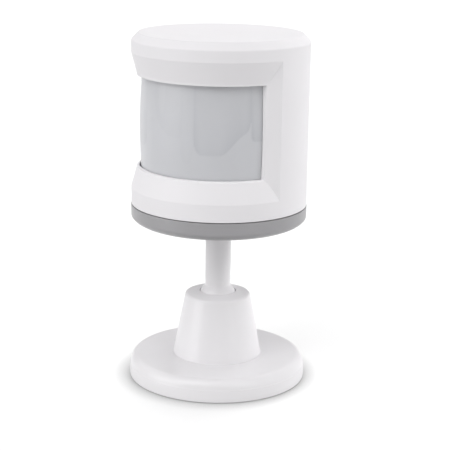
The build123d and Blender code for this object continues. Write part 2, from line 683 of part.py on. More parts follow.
os.makedirs("parts", exist_ok=True)
for make in PARTS:
    made = make()
    solids = made if isinstance(made, list) else made.solids()
    shape = Compound(children=list(solids)) if len(solids) > 1 else solids[0]
    export_step(shape, f"parts/{make.__name__}.step")
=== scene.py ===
import json
import math

import bmesh
import bpy
from mathutils import Matrix, Vector


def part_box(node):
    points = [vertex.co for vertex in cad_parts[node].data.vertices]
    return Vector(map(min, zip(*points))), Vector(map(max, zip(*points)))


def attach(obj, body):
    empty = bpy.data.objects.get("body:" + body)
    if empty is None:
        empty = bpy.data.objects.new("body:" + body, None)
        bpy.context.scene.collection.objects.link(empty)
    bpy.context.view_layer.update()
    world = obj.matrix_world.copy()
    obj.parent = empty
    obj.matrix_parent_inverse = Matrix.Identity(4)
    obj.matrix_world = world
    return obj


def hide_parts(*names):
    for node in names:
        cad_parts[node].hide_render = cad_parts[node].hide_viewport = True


# A motion sensor on a ball-joint stand. The drawing sizes below are in millimetres, as on the
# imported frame, and every piece is made in metres in the frame's own place. Azimuths are in
# degrees from -Y, the window's middle, towards +X.

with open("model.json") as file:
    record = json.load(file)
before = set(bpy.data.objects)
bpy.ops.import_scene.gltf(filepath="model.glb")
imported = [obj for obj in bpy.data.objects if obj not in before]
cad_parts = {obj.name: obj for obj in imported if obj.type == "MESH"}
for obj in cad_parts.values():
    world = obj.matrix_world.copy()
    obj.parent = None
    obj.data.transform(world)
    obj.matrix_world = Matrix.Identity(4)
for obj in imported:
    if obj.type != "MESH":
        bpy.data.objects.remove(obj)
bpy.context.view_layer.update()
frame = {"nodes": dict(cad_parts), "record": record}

MM = 0.001
TINY = 0.001                     # degrees or millimetres that don't count


# ---------------------------------------------------------------- mesh helpers

def in_mm(corner):
    """A corner of the frame, in millimetres."""
    return Vector(corner) / MM


def around(azimuth, radius, z):
    """A point at an azimuth in degrees from -Y towards +X."""
    a = math.radians(azimuth)
    return radius * math.sin(a), -radius * math.cos(a), z


def new_mesh_object(name, points, faces):
    """An object from points in millimetres and faces, smooth shaded."""
    mesh = bpy.data.meshes.new(name)
    mesh.from_pydata([(x * MM, y * MM, z * MM) for x, y, z in points], [], faces)
    obj = bpy.data.objects.new(name, mesh)
    bpy.context.scene.collection.objects.link(obj)
    mesh.shade_smooth()
    return obj


def sharpen(obj, degrees=38):
    """Marks the edges that turn more than an angle as sharp, besides those marked already."""
    bm = bmesh.new()
    bm.from_mesh(obj.data)
    for edge in bm.edges:
        if len(edge.link_faces) == 2 and edge.calc_face_angle() > math.radians(degrees):
            edge.smooth = False
    bm.to_mesh(obj.data)
    bm.free()
    return obj


def tidy_normals(obj):
    """Points every face of a closed mesh outwards, and drops points that no face uses."""
    bm = bmesh.new()
    bm.from_mesh(obj.data)
    bmesh.ops.remove_doubles(bm, verts=bm.verts, dist=1e-7)
    bmesh.ops.delete(bm, geom=[v for v in bm.verts if not v.link_faces], context="VERTS")
    bmesh.ops.recalc_face_normals(bm, faces=bm.faces)
    bm.to_mesh(obj.data)
    bm.free()
    return obj


def rounded(corners, steps=7, hold=0.06):
    """A closed outline with its corners rounded. Each corner is (r, z) or (r, z, radius).

    A straight stretch gets a point a short way in from each rounding, which keeps it flat.
    """
    count = len(corners)
    points = []
    for i, corner in enumerate(corners):
        here = Vector(corner[:2])
        radius = corner[2] if len(corner) > 2 else 0
        if not radius:
            points.append(tuple(here))
            continue
        before = Vector(corners[i - 1][:2]) - here
        after = Vector(corners[(i + 1) % count][:2]) - here
        half = before.angle(after) / 2
        inset = radius / math.tan(half)
        start = here + before.normalized() * inset
        end = here + after.normalized() * inset
        bisector = (before.normalized() + after.normalized()).normalized()
        centre = here + bisector * radius / math.sin(half)
        if before.length > 2 * (inset + hold):
            points.append(tuple(start + before.normalized() * hold))
        first, last = start - centre, end - centre
        sweep = math.pi - 2 * half
        for k in range(steps + 1):
            t = k / steps
            p = first * math.sin((1 - t) * sweep) + last * math.sin(t * sweep)
            points.append(tuple(centre + p / math.sin(sweep)))
        if after.length > 2 * (inset + hold):
            points.append(tuple(end + after.normalized() * hold))
    return points


def lathe(name, outline, segments=160, place=None):
    """A closed solid turned from an outline of (r, z), which may touch the axis. The axis is Z,
    or what place(x, y, z) makes of it."""
    points, rings, faces = [], [], []
    for r, z in outline:
        if r < 1e-6:
            rings.append([len(points)])
            points.append((0, 0, z))
            continue
        ring = []
        for i in range(segments):
            a = 2 * math.pi * i / segments
            ring.append(len(points))
            points.append((r * math.cos(a), r * math.sin(a), z))
        rings.append(ring)
    for k, low in enumerate(rings):
        high = rings[(k + 1) % len(rings)]
        for i in range(segments):
            j = (i + 1) % segments
            if len(low) == len(high) == 1:
                break
            if len(low) == 1:
                faces.append((low[0], high[j], high[i]))
            elif len(high) == 1:
                faces.append((low[i], low[j], high[0]))
            else:
                faces.append((low[i], low[j], high[j], high[i]))
    if place:
        points = [place(*p) for p in points]
    return tidy_normals(new_mesh_object(name, points, faces))


def ring_block(name, middle, half_angle, inner, outer, low, high, edge=0.12):
    """A stretch of a ring, such as a bayonet lug, with its long edges rounded."""
    section = rounded([(inner, low), (outer, low, edge), (outer, high, edge), (inner, high)],
                      steps=3)
    steps = 10
    points, faces = [], []
    for i in range(steps + 1):
        a = middle - half_angle + 2 * half_angle * i / steps
        points += [around(a, r, z) for r, z in section]
    n = len(section)
    for i in range(steps):
        for k in range(n):
            m = (k + 1) % n
            faces.append((i * n + k, i * n + m, (i + 1) * n + m, (i + 1) * n + k))
    faces.append(tuple(range(n)))
    faces.append(tuple(steps * n + k for k in reversed(range(n))))
    return tidy_normals(new_mesh_object(name, points, faces))


def combine(obj, tool, operation):
    """Adds or cuts a tool solid, with the exact solver, and removes the tool."""
    change = obj.modifiers.new("change", "BOOLEAN")
    change.operation = operation
    change.solver = "EXACT"
    change.object = tool
    graph = bpy.context.evaluated_depsgraph_get()
    mesh = bpy.data.meshes.new_from_object(obj.evaluated_get(graph))
    obj.modifiers.remove(change)
    old = obj.data
    obj.data = mesh
    mesh.name = obj.name
    bpy.data.meshes.remove(old)
    bpy.data.objects.remove(tool)
    return obj


def spread(low, high, step):
    """Evenly spaced values from low to high, both included, about step apart."""
    count = max(1, round((high - low) / step))
    return [low + (high - low) * i / count for i in range(count + 1)]


def merged(kept, extra, gap):
    """The kept values, and those of the extra ones that stand clear of them, sorted."""
    values = list(kept)
    for v in extra:
        if all(abs(v - other) > gap for other in values):
            values.append(v)
    return sorted(values)


# ---------------------------------------------------------------- sizes, from the frame

housing_low, housing_high = map(in_mm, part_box("housing"))
lens_low, lens_high = map(in_mm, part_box("fresnel_lens"))
cover_low, cover_high = map(in_mm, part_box("battery_cover"))
stand_low, stand_high = map(in_mm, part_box("stand"))
stem_low, stem_high = map(in_mm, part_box("ball_stem"))
button_low, button_high = map(in_mm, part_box("reset_button"))
_, pad_high = map(in_mm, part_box("adhesive_pad"))
seal_low, seal_high = map(in_mm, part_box("cover_seal"))

# Head
HEAD_R = housing_high.x
HEAD_TOP = housing_high.z
HOUSING_BOTTOM = housing_low.z
RIM_R = HEAD_R - 1.17            # flat top face
BEVEL_Z = HEAD_TOP - 1.25        # lower edge of the bevel round the top
WALL_BORE = HEAD_R - 1.4
SKIRT_BORE = HEAD_R - 0.7
SKIRT_TOP = HOUSING_BOTTOM + 2.8
CEILING = HEAD_TOP - 1.5
WINDOW_LOW = HOUSING_BOTTOM + 6.35
WINDOW_HIGH = HOUSING_BOTTOM + 22.0
WINDOW_HALF = 73.0
LIP_R = HEAD_R - 0.95            # radius of the window's inner edge
BEZEL_LOW = HOUSING_BOTTOM + 2.9
BEZEL_HIGH = HOUSING_BOTTOM + 25.8
BEZEL_HALF = 81.8
LIP_LAND = 0.2                   # upright land above the window
LIP_TURN = 2.1                   # the lip slopes in by this many degrees at the window's sides
LIP_RISE = 0.2                   # and by this height along the window's lower edge
LIP_DROP = 0.05                  # and along its upper edge
LIP_GAP = 0.07                   # clearance between the lip and the lens
LIP_SLIT = 0.24                  # what is added to that along the lower left
SLIT_START = 30                  # azimuth to the left at which the slit starts to open
SLIT_OPENS = 12                  # degrees over which it opens
SLIT_CLOSES = 10                 # and degrees over which it closes at the window's side
BOSS = Vector((7.6, 8.2))        # where the screw bosses stand, one each side
BOSS_R = 1.7
BOSS_BORE = 0.62
BOSS_LOW = HOUSING_BOTTOM + 7.05
BOSS_DEPTH = 6                   # depth of the pilot hole
LEDGE_T = 0.9                    # the bayonet's ledges in the housing
LEDGE_HALF = 20
BAYONETS = 3

# Reset button, in the back of the head
BUTTON_Z = (button_low.z + button_high.z) / 2
BUTTON_R = 2.2
BUTTON_HOLE_R = 2.3
BUTTON_SHANK_R = 1.2
BUTTON_DISH_R = 1.7
FLANGE_IN, FLANGE_OUT = 12.4, 13.1
HOLE_IN, HOLE_CHAMFER, HOLE_OUT = 12, 14.75, 15.25
FLANGE_R = button_high.x

# Lens
LENS_LOW, LENS_HIGH = lens_low.z, lens_high.z
LENS_HALF = 79.0
LENS_R = 13.54                   # outer radius at its fullest height
LENS_FULL_Z = 44.5
LENS_BARREL = 110.0
LENS_BORE = 12.88
FACET_CUT = 0.16                 # depth of the deepest facet

# Cover
COVER_R = cover_high.x
COVER_LOW = cover_low.z
SPIGOT_TOP = cover_high.z
COVER_TOP = HOUSING_BOTTOM - 0.12
GROOVE_LOW = HOUSING_BOTTOM - 0.8
COVER_FLOOR = COVER_LOW + 1.8
COVER_FLAT_R = COVER_R - 4.5
COVER_EDGE_Z = COVER_LOW + 1.78
SPIGOT_R = 13.35
SPIGOT_BORE = 12.55
LUG_R = 14.1
LUG_T = 0.9
LUG_HALF = 9
LUG_OFFSET = -6.0
SEAL_R = seal_high.x
SEAL_BORE = SEAL_R - 0.5

# Stand and stem
FOOT_R = stand_high.x
FOOT_LIFT = stand_low.z
FOOT_WALL = 2.0                  # height at which the foot's rounded edge starts
FOOT_EDGE = 1.5                  # how far in that edge reaches
FOOT_TOP = 3.96
PARTING_STEP = 0.07              # the moulding's parting line, just above FOOT_WALL
CONE_FOOT_R = 7.66
CONE_SHOULDER_R = 5.62
CONE_SHOULDER_Z = 14.8
CONE_TOP = 15.2
OPENING_R = 3.1
POCKET_R = 13.6
POCKET_TOP = 1.95
BORE_R = 4.6
BORE_TOP = 12.5
BALL_R = stem_high.x
BALL_Z = stem_low.z + BALL_R
SEAT_R = BALL_R + 0.06
ROD_R = 2.22
TENON_R = 1.6
PILOT_R = 0.82
PILOT_LOW = 22.0


# ---------------------------------------------------------------- housing

def side_plane():
    """The frame's flat side bevel in plan: its normal's azimuth and its distance from the axis."""
    inner = Vector(around(WINDOW_HALF, LIP_R, 0))
    outer = Vector(around(BEZEL_HALF, HEAD_R, 0))
    along = (outer - inner).normalized()
    normal = Vector((along.y, -along.x, 0))
    if normal.dot(inner) < 0:
        normal = -normal
    return math.degrees(math.atan2(normal.x, -normal.y)), normal.dot(inner)


PLANE_AZIMUTH, PLANE_DISTANCE = side_plane()
LAND_HIGH = WINDOW_HIGH + LIP_LAND


def side_radius(azimuth):
    """Radius at which the side bevel meets the ray at an azimuth, 0 within the window."""
    turn = abs(azimuth) - PLANE_AZIMUTH
    if abs(azimuth) < WINDOW_HALF:
        return 0
    if turn > 80:
        return HEAD_R + 1
    return PLANE_DISTANCE / math.cos(math.radians(turn))


def side_azimuth(radius):
    """Azimuth at which the side bevel has a radius."""
    return PLANE_AZIMUTH + math.degrees(math.acos(PLANE_DISTANCE / radius))


def high_z(radius):
    """Height at which the upper bevel has a radius."""
    return LAND_HIGH + (radius - LIP_R) * (BEZEL_HIGH - LAND_HIGH) / (HEAD_R - LIP_R)


def low_z(radius):
    """Height at which the lower bevel has a radius."""
    return WINDOW_LOW - (radius - LIP_R) * (WINDOW_LOW - BEZEL_LOW) / (HEAD_R - LIP_R)


def skin_radius(azimuth, z):
    """Radius of the housing's outer skin, with the bevelled frame cut into it."""
    high = LIP_R + (z - LAND_HIGH) * (HEAD_R - LIP_R) / (BEZEL_HIGH - LAND_HIGH)
    low = LIP_R + (WINDOW_LOW - z) * (HEAD_R - LIP_R) / (WINDOW_LOW - BEZEL_LOW)
    return min(HEAD_R, max(LIP_R, high, low, side_radius(azimuth)))


CREASE = 0.07                    # softening of the frame's outer edges
BEVEL_RADII = spread(LIP_R, HEAD_R - 0.02, 0.08) + [HEAD_R]


def between(value, low, high, new_low, new_high):
    """A value taken from one range to another."""
    return new_low + (value - low) * (new_high - new_low) / (high - low)


def lip_inner(a, z):
    """The lip's inner edge behind a place on its outer edge: azimuth and height."""
    return (a * (1 - LIP_TURN / WINDOW_HALF),
            between(z, WINDOW_LOW, WINDOW_HIGH, WINDOW_LOW + LIP_RISE, WINDOW_HIGH - LIP_DROP))


def lip_gap(a, z):
    """Clearance between the lip and the lens. Along the lower left the lens stands further off."""
    if z > WINDOW_LOW + TINY:
        return LIP_GAP
    opened = min(1.0, max(0.0, (-a - SLIT_START) / SLIT_OPENS))
    left = min(1.0, (WINDOW_HALF + a) / SLIT_CLOSES)
    return LIP_GAP + LIP_SLIT * opened * left


def lining_azimuth(a):
    """Where the inner skin stands behind an azimuth of the outer skin."""
    edge = WINDOW_HALF - LIP_TURN + 0.3
    if abs(a) < WINDOW_HALF + TINY:
        return a * edge / WINDOW_HALF
    if abs(a) < 100:
        return math.copysign(between(abs(a), WINDOW_HALF, 100, edge, 100), a)
    return a


def lining_z(z, lowest, highest):
    """Where the inner skin stands behind a height of the outer skin."""
    low, high = WINDOW_LOW + LIP_RISE - 0.15, WINDOW_HIGH - LIP_DROP + 0.15
    if z < WINDOW_LOW:
        return between(z, lowest, WINDOW_LOW, SKIRT_TOP + 0.3, low)
    if z > WINDOW_HIGH:
        return between(z, WINDOW_HIGH, highest, high, CEILING - 1)
    return between(z, WINDOW_LOW, WINDOW_HIGH, low, high)


def housing_shell():
    """The white shell as one closed skin: outside, window lip, inside."""
    side = [side_azimuth(r) for r in BEVEL_RADII]
    half = merged([0, 180] + side + [BEZEL_HALF + 0.27, BEZEL_HALF + 1.0],
                  spread(0, WINDOW_HALF, 2.2) + spread(BEZEL_HALF + 1, 165, 2.2)
                  + spread(165, 180, 1), 0.3)
    azimuths = sorted([-a for a in half if 0 < a < 180] + half)
    heights = merged([high_z(r) for r in BEVEL_RADII] + [low_z(r) for r in BEVEL_RADII]
                     + [WINDOW_HIGH, BEZEL_LOW - CREASE, BEZEL_HIGH + CREASE, HOUSING_BOTTOM + 0.4],
                     spread(WINDOW_LOW, WINDOW_HIGH, 0.7)
                     + spread(HOUSING_BOTTOM + 0.4, BEZEL_LOW - 0.4, 0.8), 0.04)
    lowest, highest = heights[0], heights[-1]
    count = len(azimuths)
    points, faces, mitres = [], [], set()

    def ring(radius, z):
        """A ring of points. Radius is a number or a function of azimuth."""
        made = []
        for a in azimuths:
            made.append(len(points))
            points.append(around(a, radius(a) if callable(radius) else radius, z))
        return made

    def join(first, second):
        for i in range(count):
            j = (i + 1) % count
            faces.append((first[i], second[i], second[j], first[j]))

    def close(ring_points, z):
        pole = len(points)
        points.append((0, 0, z))
        for i in range(count):
            faces.append((pole, ring_points[i], ring_points[(i + 1) % count]))

    # The top face, its bevel and the wall above the frame.
    profile = rounded([(0, HEAD_TOP), (RIM_R, HEAD_TOP, 0.28), (HEAD_R, BEVEL_Z, 0.5),
                       (HEAD_R, BEZEL_HIGH + 0.3), (0, BEZEL_HIGH)])[1:-1]
    rows = [ring(r, HEAD_TOP) for r in (3, 7, 10.5, 12.6)]
    rows += [ring(r, z) for r, z in profile]
    close(rows[0], HEAD_TOP)
    for upper, lower in zip(rows, rows[1:]):
        join(upper, lower)

    # The wall with the bevelled frame. Cells that a mitre crosses are split along it.
    skin = {z: ring(lambda a, z=z: skin_radius(a, z), z) for z in heights}
    join(rows[-1], skin[highest])
    mitre_high = {round(a, 4): high_z(r) for a, r in zip(side, BEVEL_RADII)}
    mitre_low = {round(a, 4): low_z(r) for a, r in zip(side, BEVEL_RADII)}

    def in_window(a):
        return abs(a) < WINDOW_HALF + TINY

    def is_open(i, low, high):
        j = (i + 1) % count
        return (in_window(azimuths[i]) and in_window(azimuths[j])
                and low > WINDOW_LOW - TINY and high < WINDOW_HIGH + TINY)

    def on_mitre(i, z):
        a = round(abs(azimuths[i]), 4)
        return (abs(mitre_high.get(a, 0) - z) < 1e-4) or (abs(mitre_low.get(a, 0) - z) < 1e-4)

    for low, high in zip(heights, heights[1:]):
        for i in range(count):
            if is_open(i, low, high):
                continue
            j = (i + 1) % count
            a, b, c, d = skin[high][i], skin[low][i], skin[low][j], skin[high][j]
            if on_mitre(i, low) and on_mitre(j, high):
                faces += [(a, b, d), (b, c, d)]
                mitres.add(frozenset((b, d)))
            elif on_mitre(i, high) and on_mitre(j, low):
                faces += [(a, b, c), (a, c, d)]
                mitres.add(frozenset((a, c)))
            else:
                faces.append((a, b, c, d))

    # The bottom edge, the bayonet's bore and the inner skin.
    foot = rounded([(HEAD_R, lowest), (HEAD_R, HOUSING_BOTTOM, 0.08),
                    (SKIRT_BORE, HOUSING_BOTTOM, 0.1), (SKIRT_BORE, SKIRT_TOP),
                    (WALL_BORE, SKIRT_TOP)], steps=4)[1:]
    below = [ring(r, z) for r, z in foot]
    join(skin[lowest], below[0])
    for upper, lower in zip(below, below[1:]):
        join(upper, lower)
    lining = {}
    for z in heights:
        made = []
        for a in azimuths:
            made.append(len(points))
            points.append(around(lining_azimuth(a), WALL_BORE, lining_z(z, lowest, highest)))
        lining[z] = made
    join(below[-1], lining[lowest])
    for low, high in zip(heights, heights[1:]):
        for i in range(count):
            if not is_open(i, low, high):
                j = (i + 1) % count
                faces.append((lining[low][i], lining[high][i], lining[high][j], lining[low][j]))
    ceiling = [ring(r, CEILING) for r in (WALL_BORE, 9, 4)]
    join(lining[highest], ceiling[0])
    join(ceiling[0], ceiling[1])
    join(ceiling[1], ceiling[2])
    close(ceiling[2], CEILING)

    # The rounded lip between the outer and the inner skin, all round the window.
    across = sorted((i for i in range(count) if in_window(azimuths[i])), key=lambda i: azimuths[i])
    upright = [z for z in heights if WINDOW_LOW + TINY < z < WINDOW_HIGH - TINY]
    top_z = min(heights, key=lambda z: abs(z - WINDOW_HIGH))
    bottom_z = min(heights, key=lambda z: abs(z - WINDOW_LOW))
    loop = [(i, top_z) for i in across] + [(across[-1], z) for z in reversed(upright)]
    loop += [(i, bottom_z) for i in reversed(across)] + [(across[0], z) for z in upright]
    strips = [[skin[z][i] for i, z in loop]]
    steps = 7
    for k in range(1, steps + 1):
        t = k / steps
        strip = []
        for i, z in loop:
            a = azimuths[i]
            start = Vector(around(a, LIP_R, z))
            inner_a, inner_z = lip_inner(a, z)
            turn_a, turn_z = (0.35 * a + 0.65 * inner_a), (0.35 * z + 0.65 * inner_z)
            corner = Vector(around(turn_a, LIP_R - 0.02, turn_z))
            end = Vector(around(inner_a, lens_outer(inner_z) + lip_gap(a, z), inner_z))
            strip.append(len(points))
            points.append(tuple(start * (1 - t) ** 2 + corner * 2 * t * (1 - t) + end * t * t))
        strips.append(strip)
    strips.append([lining[z][i] for i, z in loop])
    for first, second in zip(strips, strips[1:]):
        for k in range(len(loop)):
            n = (k + 1) % len(loop)
            faces.append((first[k], first[n], second[n], second[k]))

    obj = new_mesh_object("housing_shell", points, faces)
    for edge in obj.data.edges:
        if frozenset(edge.vertices) in mitres:
            edge.use_edge_sharp = True
    return tidy_normals(obj)


def in_the_back(x, y, z):
    """Turns a lathed piece's axis to point out of the head's back, at the button's height."""
    return x, z, y + BUTTON_Z


def make_housing():
    """The shell with its ledges, screw bosses and button hole."""
    shell = housing_shell()
    for i in range(BAYONETS):
        ledge = ring_block("ledge", 360 * i / BAYONETS, LEDGE_HALF, WALL_BORE - 0.05,
                           SKIRT_BORE + 0.15, HOUSING_BOTTOM + 0.02, HOUSING_BOTTOM + LEDGE_T, 0)
        combine(shell, ledge, "UNION")
    for side in (-1, 1):
        post = rounded([(BOSS_BORE, BOSS_LOW), (BOSS_R, BOSS_LOW, 0.15), (BOSS_R, CEILING + 0.2),
                        (0, CEILING + 0.2), (0, BOSS_LOW + BOSS_DEPTH),
                        (BOSS_BORE, BOSS_LOW + BOSS_DEPTH)], steps=3)
        boss = lathe("boss", post, 32,
                     lambda x, y, z, side=side: (x + side * BOSS.x, y + BOSS.y, z))
        combine(shell, boss, "UNION")
    hole = lathe("hole", [(0, HOLE_IN), (BUTTON_HOLE_R, HOLE_IN), (BUTTON_HOLE_R, HOLE_CHAMFER),
                          (BUTTON_HOLE_R + 0.5, HOLE_OUT), (0, HOLE_OUT)], 64, in_the_back)
    combine(shell, hole, "DIFFERENCE")
    return sharpen(shell, 32)


# ---------------------------------------------------------------- lens

def lens_outer(z):
    """Radius of the lens's gently bulging outside at a height."""
    return LENS_R - (z - LENS_FULL_Z) ** 2 / (2 * LENS_BARREL)


class Petal:
    """One facet of the lens, with a rounded lower end: an upright panel between two azimuths.

    Each lower corner is a quarter ellipse, so many degrees wide and so many millimetres high. The
    lower edge may climb by a height from one azimuth to another. Depth is how dark the facet's
    painted shade is along its lower edge, and base the part of it that is left further up.
    """

    def __init__(self, first, last, low, left, right, depth, base=0.03, climb=(0, 1, 0)):
        self.first, self.last, self.low = first, last, low
        self.left, self.right, self.depth, self.base = left, right, depth, base
        self.climb = climb

    def mirrored(self):
        """The same facet on the other side, fainter."""
        start, end, height = self.climb
        return Petal(-self.last, -self.first, self.low, self.right, self.left,
                     0.5 * self.depth, self.base, (-start, -end, height))

    def edge(self, azimuth):
        """Height of the facet's lower edge at an azimuth."""
        start, end, height = self.climb
        t = min(1.0, max(0.0, (azimuth - start) / (end - start)))
        z = self.low + height * t * t * (3 - 2 * t)
        corners = (azimuth - self.first, self.left), (self.last - azimuth, self.right)
        for inset, (width, rise) in corners:
            if inset < width:
                t = 1 - max(inset, 0) / width
                z += rise * (1 - math.sqrt(max(0.0, 1 - t * t)))
        return z

    def share(self, azimuth, z):
        """How far a point lies within the facet, 0 to 1, over a narrow step at its outline."""
        step = 0.3
        side = min(azimuth - self.first, self.last - azimuth) * math.radians(LENS_R)
        inset = min(side, z - self.edge(azimuth))
        return min(1.0, max(0.0, 0.5 + inset / step))

    def tone(self, azimuth, z):
        """Painted shade: the facet is painted darkest just inside its lower edge, more so where the
        edge slants.
        """
        slope = abs(self.edge(azimuth + 0.5) - self.edge(azimuth - 0.5)) / math.radians(LENS_R)
        inset = max(0.0, z - self.edge(azimuth)) / math.hypot(1, slope)
        strength = 0.6 + 0.4 * min(1.0, slope)
        fade = strength * math.exp(-inset / 2.4)
        return self.share(azimuth, z) * self.depth * (self.base + (1 - self.base) * fade)


def lens_petals():
    """The facets. Those at positive azimuths have a fainter copy on the other side."""
    wing = [
        Petal(12.3, 22.2, 40.1, (5, 2.5), (5, 2.5), 0.12),
        Petal(22.2, 62.8, 41.7, (6, 2.5), (5, 3.6), 0.75, climb=(40, 60, 3.6)),
        Petal(62.5, 71.0, 43.9, (3, 1.0), (1, 0.2), 1.0, 0.15),
    ]
    middle = Petal(-12.3, 14.0, 44.2, (20, 7.0), (3, 1.5), 0.2)
    return [petal.mirrored() for petal in wing] + [middle] + wing


def make_lens():
    """The pale lens: a barrel-shaped wall with moulded facets inside, behind the frame."""
    petals = lens_petals()
    # A painted highlight: a lighter streak painted into the lens's colour
    painted_glint = Petal(-7.3, -1.2, 47.8, (3, 3.0), (3, 3.0), -0.2, 1.0)
    azimuths = spread(-LENS_HALF, LENS_HALF, 0.85)
    heights = spread(LENS_LOW, LENS_HIGH, 0.22)

    def inner(a, z):
        """Radius of the inside, where each facet is a shallow recess."""
        cut = max(petal.share(a, z) * (0.3 + 0.7 * petal.depth) for petal in petals)
        return LENS_BORE + FACET_CUT * cut

    rows = [(lambda a, z: lens_outer(z), z) for z in heights]
    rows += [(inner, z) for z in reversed(heights)]
    points, faces, painted_shades = [], [], []
    for radius, z in rows:
        points += [around(a, radius(a, z), z) for a in azimuths]
        # Painted shade on each facet, and the painted glint's lighter streak, kept with each point
        painted_shades += [max(petal.tone(a, z) for petal in petals) + painted_glint.tone(a, z) for a in azimuths]
    n, m = len(azimuths), len(rows)
    for k in range(m):
        following = (k + 1) % m
        for i in range(n - 1):
            faces.append((k * n + i, k * n + i + 1, following * n + i + 1, following * n + i))
    for i in (0, n - 1):
        for k in range(len(heights) - 1):
            faces.append((k * n + i, (k + 1) * n + i, (m - 2 - k) * n + i, (m - 1 - k) * n + i))
    lens = new_mesh_object("lens_sheet", points, faces)
    tone = lens.data.attributes.new("facet_painted_shade", "FLOAT", "POINT")
    tone.data.foreach_set("value", painted_shades)
    return sharpen(tidy_normals(lens), 50)


# ---------------------------------------------------------------- turned pieces

def arc(centre_r, centre_z, radius_r, radius_z, start, end, steps):
    """Points on an ellipse's arc, angles in degrees from +r towards +z."""
    points = []
    for i in range(steps + 1):
        t = math.radians(start + (end - start) * i / steps)
        points.append((centre_r + radius_r * math.cos(t), centre_z + radius_z * math.sin(t)))
    return points


def make_cover():
    """The grey twist-off cap: rounded underside, seal groove, spigot and bayonet lugs."""
    socket_r = TENON_R + 0.05
    collar_r, collar_z = 2.5, COVER_LOW + 0.9
    groove_out, groove_in = SEAL_R + 0.05, SEAL_BORE - 0.05
    flat = [(r, COVER_LOW) for r in (2.6, 5.5, 9.5, COVER_FLAT_R - 0.1)]
    under = arc(COVER_FLAT_R, COVER_EDGE_Z, COVER_R - COVER_FLAT_R, COVER_EDGE_Z - COVER_LOW,
                -90, 0, 22)
    upper = rounded([(COVER_R, COVER_EDGE_Z + 0.1), (COVER_R, COVER_TOP, 0.08),
                     (groove_out, COVER_TOP, 0.05), (groove_out, GROOVE_LOW),
                     (groove_in, GROOVE_LOW), (groove_in, COVER_TOP, 0.05),
                     (SPIGOT_R, COVER_TOP), (SPIGOT_R, SPIGOT_TOP, 0.15),
                     (SPIGOT_BORE, SPIGOT_TOP, 0.15), (SPIGOT_BORE, COVER_FLOOR, 0.3),
                     (collar_r, COVER_FLOOR, 0.1), (collar_r, collar_z),
                     (socket_r, collar_z)], steps=4)
    cover = lathe("battery_cap", [(socket_r, COVER_LOW)] + flat + under + upper, 192)
    for i in range(BAYONETS):
        lug = ring_block("lug", LUG_OFFSET + 360 * i / BAYONETS, LUG_HALF, SPIGOT_R - 0.2, LUG_R,
                         SPIGOT_TOP - LUG_T, SPIGOT_TOP - 0.16, 0.1)
        combine(cover, lug, "UNION")
    return sharpen(cover, 40)


def make_seal():
    """The soft ring in the cover's groove."""
    low, high = seal_low.z, seal_high.z
    outline = rounded([(SEAL_BORE, low, 0.1), (SEAL_R, low, 0.1), (SEAL_R, high, 0.2),
                       (SEAL_BORE, high, 0.2)], 5)
    return lathe("seal_ring", outline, 160)


def make_stand():
    """The disc foot and cone post in one moulding, open below, with the ball's seat inside."""
    edge_r = FOOT_R - FOOT_EDGE
    part_z = FOOT_WALL + 0.3
    wall = rounded([(POCKET_R, FOOT_LIFT), (FOOT_R, FOOT_LIFT, 0.2), (FOOT_R, part_z)],
                   steps=5)[1:-1]
    line = [(FOOT_R, part_z - 0.06), (FOOT_R - 0.012, part_z - 0.015),
            (FOOT_R - PARTING_STEP, part_z), (FOOT_R - PARTING_STEP, part_z + 0.05)]
    start = math.degrees(math.asin(0.36 / (FOOT_TOP - FOOT_WALL)))
    edge = arc(edge_r, FOOT_WALL, FOOT_EDGE - 0.05, FOOT_TOP - FOOT_WALL, start, 90, 22)
    plateau = [(r, FOOT_TOP) for r in (edge_r - 0.1, 12.2, 10.2)]
    top = rounded([(edge_r, FOOT_TOP), (CONE_FOOT_R, FOOT_TOP, 0.22),
                   (CONE_SHOULDER_R, CONE_SHOULDER_Z, 0.6), (OPENING_R, CONE_TOP, 0.14),
                   (OPENING_R, BALL_Z + 1.2)], steps=9)[1:-1]
    seat_start = math.degrees(math.acos(OPENING_R / SEAT_R))
    seat_end = -math.degrees(math.asin((BALL_Z - BORE_TOP) / SEAT_R))
    seat = arc(0, BALL_Z, SEAT_R, SEAT_R, seat_start, seat_end, 16)
    inside = [(BORE_R, BORE_TOP), (BORE_R, POCKET_TOP), (POCKET_R, POCKET_TOP),
              (POCKET_R, FOOT_LIFT)]
    outline = wall + line + edge + plateau + top + seat + inside
    return sharpen(lathe("stand_body", outline, 224), 40)


def make_stem():
    """The ball and its rod in one moulding, with a pilot hole for the screw from above."""
    neck = 0.35                      # radius of the fillet between them
    reach = BALL_R + neck
    centre_r = ROD_R + neck
    centre_z = BALL_Z + math.sqrt(reach ** 2 - centre_r ** 2)
    touch = math.degrees(math.atan2(centre_z - BALL_Z, centre_r))
    ball = arc(0, BALL_Z, BALL_R, BALL_R, -90, touch, 44)
    fillet = arc(centre_r, centre_z, neck, neck, 180 + touch, 180, 6)[1:]
    shoulder_z = COVER_LOW - 0.005
    rod = [(ROD_R, centre_z + 0.06)]
    rod += [(ROD_R, z) for z in spread(centre_z + 1, COVER_LOW - 0.2, 1.5)]
    end = rounded([(ROD_R, COVER_LOW - 0.05), (ROD_R, shoulder_z), (TENON_R, shoulder_z),
                   (TENON_R, stem_high.z, 0.1), (PILOT_R, stem_high.z, 0.08),
                   (PILOT_R, PILOT_LOW), (0, PILOT_LOW - 0.4)], steps=3)
    return sharpen(lathe("ball_and_rod", ball + fillet + rod + end, 128), 40)


